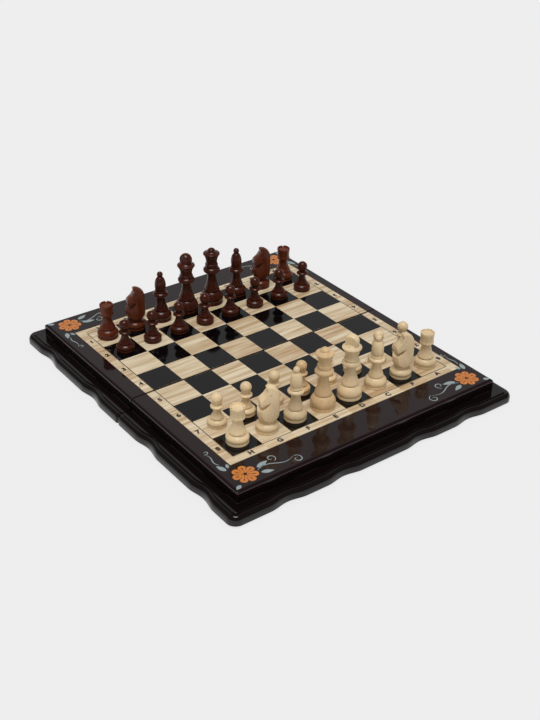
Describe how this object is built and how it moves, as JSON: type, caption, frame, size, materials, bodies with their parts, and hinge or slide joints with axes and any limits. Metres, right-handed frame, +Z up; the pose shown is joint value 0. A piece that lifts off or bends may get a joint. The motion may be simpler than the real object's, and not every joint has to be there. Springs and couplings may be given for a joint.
{
  "type": "games compendium box",
  "caption": "Folding wooden chess and backgammon box laid open chess side up, with inlaid field, scalloped mouldings, brass hinges and turned men.",
  "frame": {"origin": "on the table under the middle of the seam between the two halves", "axes": "+X along the seam to the right as the light side's player sees it, +Y from the light side's half to the dark side's half, +Z up"},
  "size_m": [0.4188, 0.4714, 0.1119],
  "materials": {
    "lacquered_wood": "high-gloss dark brown lacquer",
    "light_veneer": "pale ash veneer under gloss lacquer, grain along the seam",
    "dark_inlay": "black-stained veneer under gloss lacquer",
    "board_wood": "satin brown wood",
    "point_inlay": "pale satin veneer",
    "brass": "polished",
    "magnet_steel": "nickel-plated",
    "light_men_wood": "pale maple under clear gloss varnish",
    "dark_men_wood": "red-brown stain under clear gloss varnish"
  },
  "bodies": {
    "near_half": {"near_play_panel": "lacquered_wood", "near_field_veneer": "light_veneer", "near_dark_squares": "dark_inlay", "near_end_rail": "lacquered_wood", "near_seam_rail": "lacquered_wood", "near_side_rails": "lacquered_wood", "near_end_moulding": "lacquered_wood", "near_side_mouldings": "lacquered_wood", "near_point_board": "board_wood", "near_points": "point_inlay", "near_magnets": "magnet_steel", "near_hinge_leaves": "brass", "near_hinge_screws": "brass", "hinge_pins": "brass"},
    "far_half": {"far_play_panel": "lacquered_wood", "far_field_veneer": "light_veneer", "far_dark_squares": "dark_inlay", "far_end_rail": "lacquered_wood", "far_seam_rail": "lacquered_wood", "far_side_rails": "lacquered_wood", "far_end_moulding": "lacquered_wood", "far_side_mouldings": "lacquered_wood", "far_point_board": "board_wood", "far_points": "point_inlay", "far_magnets": "magnet_steel", "far_hinge_leaves": "brass", "far_hinge_screws": "brass"},
    "light_rook_h": {"light_rook_h": "light_men_wood"},
    "light_knight_g": {"light_knight_g": "light_men_wood"},
    "light_bishop_f": {"light_bishop_f": "light_men_wood"},
    "light_queen_e": {"light_queen_e": "light_men_wood"},
    "light_king_d": {"light_king_d": "light_men_wood"},
    "light_bishop_c": {"light_bishop_c": "light_men_wood"},
    "light_knight_b": {"light_knight_b": "light_men_wood"},
    "light_rook_a": {"light_rook_a": "light_men_wood"},
    "light_pawn_h": {"light_pawn_h": "light_men_wood"},
    "light_pawn_g": {"light_pawn_g": "light_men_wood"},
    "light_pawn_f": {"light_pawn_f": "light_men_wood"},
    "light_pawn_e": {"light_pawn_e": "light_men_wood"},
    "light_pawn_d": {"light_pawn_d": "light_men_wood"},
    "light_pawn_c": {"light_pawn_c": "light_men_wood"},
    "light_pawn_b": {"light_pawn_b": "light_men_wood"},
    "light_pawn_a": {"light_pawn_a": "light_men_wood"},
    "dark_pawn_h": {"dark_pawn_h": "dark_men_wood"},
    "dark_pawn_g": {"dark_pawn_g": "dark_men_wood"},
    "dark_pawn_f": {"dark_pawn_f": "dark_men_wood"},
    "dark_pawn_e": {"dark_pawn_e": "dark_men_wood"},
    "dark_pawn_d": {"dark_pawn_d": "dark_men_wood"},
    "dark_pawn_c": {"dark_pawn_c": "dark_men_wood"},
    "dark_pawn_b": {"dark_pawn_b": "dark_men_wood"},
    "dark_pawn_a": {"dark_pawn_a": "dark_men_wood"},
    "dark_rook_h": {"dark_rook_h": "dark_men_wood"},
    "dark_knight_g": {"dark_knight_g": "dark_men_wood"},
    "dark_bishop_f": {"dark_bishop_f": "dark_men_wood"},
    "dark_king_e": {"dark_king_e": "dark_men_wood"},
    "dark_queen_d": {"dark_queen_d": "dark_men_wood"},
    "dark_bishop_c": {"dark_bishop_c": "dark_men_wood"},
    "dark_knight_b": {"dark_knight_b": "dark_men_wood"},
    "dark_rook_a": {"dark_rook_a": "dark_men_wood"}
  },
  "joints": [
    {"name": "fold", "type": "hinge", "parent": "near_half", "child": "far_half", "pos_m": [0, 0, 0.00125], "axis": [-1, 0, 0], "range_deg": [0, 180]},
    {"name": "lift_light_rook_h", "type": "slide", "parent": "near_half", "child": "light_rook_h", "axis": [0, 0, 1], "range_m": [0, 0.09]},
    {"name": "lift_light_knight_g", "type": "slide", "parent": "near_half", "child": "light_knight_g", "axis": [0, 0, 1], "range_m": [0, 0.09]},
    {"name": "lift_light_bishop_f", "type": "slide", "parent": "near_half", "child": "light_bishop_f", "axis": [0, 0, 1], "range_m": [0, 0.09]},
    {"name": "lift_light_queen_e", "type": "slide", "parent": "near_half", "child": "light_queen_e", "axis": [0, 0, 1], "range_m": [0, 0.09]},
    {"name": "lift_light_king_d", "type": "slide", "parent": "near_half", "child": "light_king_d", "axis": [0, 0, 1], "range_m": [0, 0.09]},
    {"name": "lift_light_bishop_c", "type": "slide", "parent": "near_half", "child": "light_bishop_c", "axis": [0, 0, 1], "range_m": [0, 0.09]},
    {"name": "lift_light_knight_b", "type": "slide", "parent": "near_half", "child": "light_knight_b", "axis": [0, 0, 1], "range_m": [0, 0.09]},
    {"name": "lift_light_rook_a", "type": "slide", "parent": "near_half", "child": "light_rook_a", "axis": [0, 0, 1], "range_m": [0, 0.09]},
    {"name": "lift_light_pawn_h", "type": "slide", "parent": "near_half", "child": "light_pawn_h", "axis": [0, 0, 1], "range_m": [0, 0.09]},
    {"name": "lift_light_pawn_g", "type": "slide", "parent": "near_half", "child": "light_pawn_g", "axis": [0, 0, 1], "range_m": [0, 0.09]},
    {"name": "lift_light_pawn_f", "type": "slide", "parent": "near_half", "child": "light_pawn_f", "axis": [0, 0, 1], "range_m": [0, 0.09]},
    {"name": "lift_light_pawn_e", "type": "slide", "parent": "near_half", "child": "light_pawn_e", "axis": [0, 0, 1], "range_m": [0, 0.09]},
    {"name": "lift_light_pawn_d", "type": "slide", "parent": "near_half", "child": "light_pawn_d", "axis": [0, 0, 1], "range_m": [0, 0.09]},
    {"name": "lift_light_pawn_c", "type": "slide", "parent": "near_half", "child": "light_pawn_c", "axis": [0, 0, 1], "range_m": [0, 0.09]},
    {"name": "lift_light_pawn_b", "type": "slide", "parent": "near_half", "child": "light_pawn_b", "axis": [0, 0, 1], "range_m": [0, 0.09]},
    {"name": "lift_light_pawn_a", "type": "slide", "parent": "near_half", "child": "light_pawn_a", "axis": [0, 0, 1], "range_m": [0, 0.09]},
    {"name": "lift_dark_pawn_h", "type": "slide", "parent": "far_half", "child": "dark_pawn_h", "axis": [0, 0, 1], "range_m": [0, 0.09]},
    {"name": "lift_dark_pawn_g", "type": "slide", "parent": "far_half", "child": "dark_pawn_g", "axis": [0, 0, 1], "range_m": [0, 0.09]},
    {"name": "lift_dark_pawn_f", "type": "slide", "parent": "far_half", "child": "dark_pawn_f", "axis": [0, 0, 1], "range_m": [0, 0.09]},
    {"name": "lift_dark_pawn_e", "type": "slide", "parent": "far_half", "child": "dark_pawn_e", "axis": [0, 0, 1], "range_m": [0, 0.09]},
    {"name": "lift_dark_pawn_d", "type": "slide", "parent": "far_half", "child": "dark_pawn_d", "axis": [0, 0, 1], "range_m": [0, 0.09]},
    {"name": "lift_dark_pawn_c", "type": "slide", "parent": "far_half", "child": "dark_pawn_c", "axis": [0, 0, 1], "range_m": [0, 0.09]},
    {"name": "lift_dark_pawn_b", "type": "slide", "parent": "far_half", "child": "dark_pawn_b", "axis": [0, 0, 1], "range_m": [0, 0.09]},
    {"name": "lift_dark_pawn_a", "type": "slide", "parent": "far_half", "child": "dark_pawn_a", "axis": [0, 0, 1], "range_m": [0, 0.09]},
    {"name": "lift_dark_rook_h", "type": "slide", "parent": "far_half", "child": "dark_rook_h", "axis": [0, 0, 1], "range_m": [0, 0.09]},
    {"name": "lift_dark_knight_g", "type": "slide", "parent": "far_half", "child": "dark_knight_g", "axis": [0, 0, 1], "range_m": [0, 0.09]},
    {"name": "lift_dark_bishop_f", "type": "slide", "parent": "far_half", "child": "dark_bishop_f", "axis": [0, 0, 1], "range_m": [0, 0.09]},
    {"name": "lift_dark_king_e", "type": "slide", "parent": "far_half", "child": "dark_king_e", "axis": [0, 0, 1], "range_m": [0, 0.09]},
    {"name": "lift_dark_queen_d", "type": "slide", "parent": "far_half", "child": "dark_queen_d", "axis": [0, 0, 1], "range_m": [0, 0.09]},
    {"name": "lift_dark_bishop_c", "type": "slide", "parent": "far_half", "child": "dark_bishop_c", "axis": [0, 0, 1], "range_m": [0, 0.09]},
    {"name": "lift_dark_knight_b", "type": "slide", "parent": "far_half", "child": "dark_knight_b", "axis": [0, 0, 1], "range_m": [0, 0.09]},
    {"name": "lift_dark_rook_a", "type": "slide", "parent": "far_half", "child": "dark_rook_a", "axis": [0, 0, 1], "range_m": [0, 0.09]}
  ]
}
